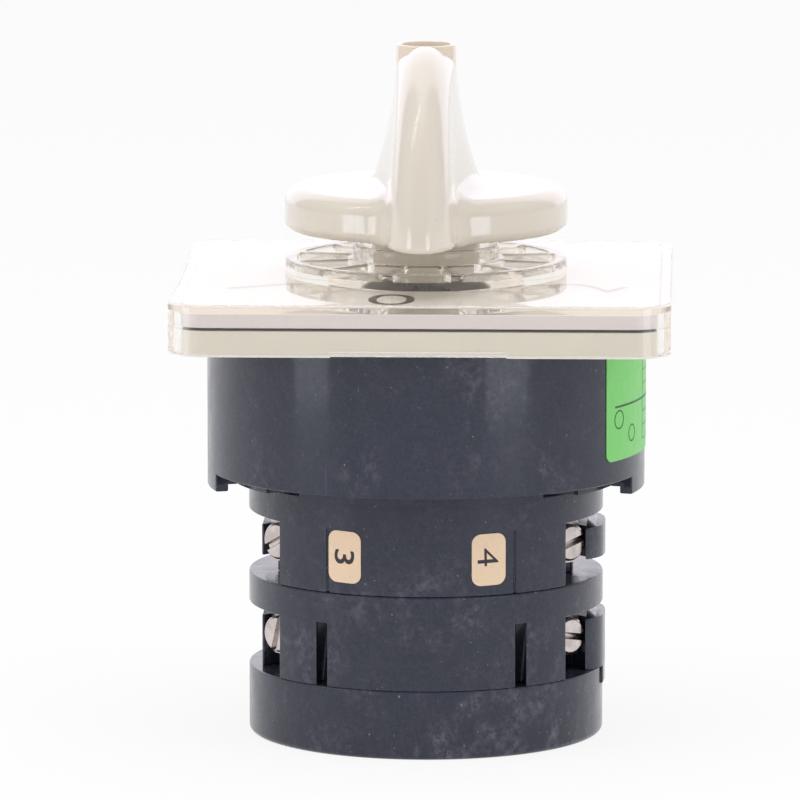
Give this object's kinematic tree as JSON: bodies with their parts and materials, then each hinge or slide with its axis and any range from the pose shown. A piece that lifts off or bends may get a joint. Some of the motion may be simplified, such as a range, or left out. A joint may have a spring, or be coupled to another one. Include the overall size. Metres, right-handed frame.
{
  "type": "changeover switch",
  "caption": "Rotary cam switch with a nose handle, clear-covered square front plate, round latch housing and stacked contact stages with side terminals.",
  "frame": {"origin": "centre of the underside of the end cap, on the shaft axis", "axes": "+Z along the shaft towards the handle, -Y the front, where the nose of the handle points in position 0, +X to the right"},
  "size_m": [0.064, 0.064, 0.0904],
  "materials": {
    "stage_plastic": "satin, lightly scuffed",
    "housing_plastic": "satin, lightly scuffed",
    "beige_plastic": "glossy",
    "plate_plastic": "semi-gloss",
    "clear_plastic": "clear, polished",
    "legend_grey": "silver-grey print",
    "label_green": "printed label",
    "sticker_cream": "printed sticker",
    "nickel": "nickel plated",
    "steel": "zinc plated",
    "contact_brass": "bright",
    "inner_plastic": "natural nylon"
  },
  "bodies": {
    "frame": {"end_cap": "stage_plastic", "stage_2_frame": "stage_plastic", "stage_1_frame": "stage_plastic", "latch_base": "housing_plastic", "latch_housing": "housing_plastic", "front_plate": "plate_plastic", "legend_insert": "legend_grey", "clear_cover": "clear_plastic", "rating_label": "label_green", "number_stickers": "sticker_cream", "tie_bolts": "steel", "tie_nuts": "steel", "fixed_contacts_1": "contact_brass", "fixed_contacts_2": "contact_brass", "terminal_screws_1": "nickel", "terminal_screws_2": "nickel", "spring_washers": "steel", "clamp_washers": "nickel", "spring_1_front": "steel", "spring_1_rear": "steel", "spring_2_front": "steel", "spring_2_rear": "steel", "detent_spring_front": "steel", "detent_spring_rear": "steel"},
    "rotor": {"handle": "beige_plastic", "handle_screw": "steel", "shaft": "steel", "shaft_clip": "steel", "detent_wheel": "inner_plastic", "cam_1": "inner_plastic", "cam_2": "inner_plastic"},
    "contact_1_front": {"plunger_1_front": "inner_plastic", "bridge_1_front": "contact_brass"},
    "contact_1_rear": {"plunger_1_rear": "inner_plastic", "bridge_1_rear": "contact_brass"},
    "contact_2_front": {"plunger_2_front": "inner_plastic", "bridge_2_front": "contact_brass"},
    "contact_2_rear": {"plunger_2_rear": "inner_plastic", "bridge_2_rear": "contact_brass"},
    "detent_front": {"detent_carrier_front": "inner_plastic", "detent_roller_front": "steel"},
    "detent_rear": {"detent_carrier_rear": "inner_plastic", "detent_roller_rear": "steel"}
  },
  "joints": [
    {"name": "handle_turn", "type": "hinge", "parent": "frame", "child": "rotor", "pos_m": [0, 0, 0], "axis": [0, 0, 1], "range_deg": [-60, 60]},
    {"name": "contact_1_front_slide", "type": "slide", "parent": "frame", "child": "contact_1_front", "axis": [0, 1, 0], "range_m": [-0.00116, 0.00116], "deforming": ["spring_1_front"]},
    {"name": "contact_1_rear_slide", "type": "slide", "parent": "frame", "child": "contact_1_rear", "axis": [0, 1, 0], "range_m": [-0.00116, 0.00116], "deforming": ["spring_1_rear"]},
    {"name": "contact_2_front_slide", "type": "slide", "parent": "frame", "child": "contact_2_front", "axis": [0, 1, 0], "range_m": [-0.00116, 0.00116], "deforming": ["spring_2_front"]},
    {"name": "contact_2_rear_slide", "type": "slide", "parent": "frame", "child": "contact_2_rear", "axis": [0, 1, 0], "range_m": [-0.00116, 0.00116], "deforming": ["spring_2_rear"]},
    {"name": "detent_front_slide", "type": "slide", "parent": "frame", "child": "detent_front", "axis": [0, 1, 0], "range_m": [0, 0.0009], "deforming": ["detent_spring_front"]},
    {"name": "detent_rear_slide", "type": "slide", "parent": "frame", "child": "detent_rear", "axis": [0, -1, 0], "range_m": [0, 0.0009], "deforming": ["detent_spring_rear"]}
  ],
  "couplings": [
    {"joint": "contact_1_front_slide", "follows": "handle_turn", "m_per_rad": 0.0010982},
    {"joint": "contact_1_rear_slide", "follows": "handle_turn", "m_per_rad": 0.0010982},
    {"joint": "contact_2_front_slide", "follows": "handle_turn", "m_per_rad": 0.0010982},
    {"joint": "contact_2_rear_slide", "follows": "handle_turn", "m_per_rad": 0.0010982}
  ]
}
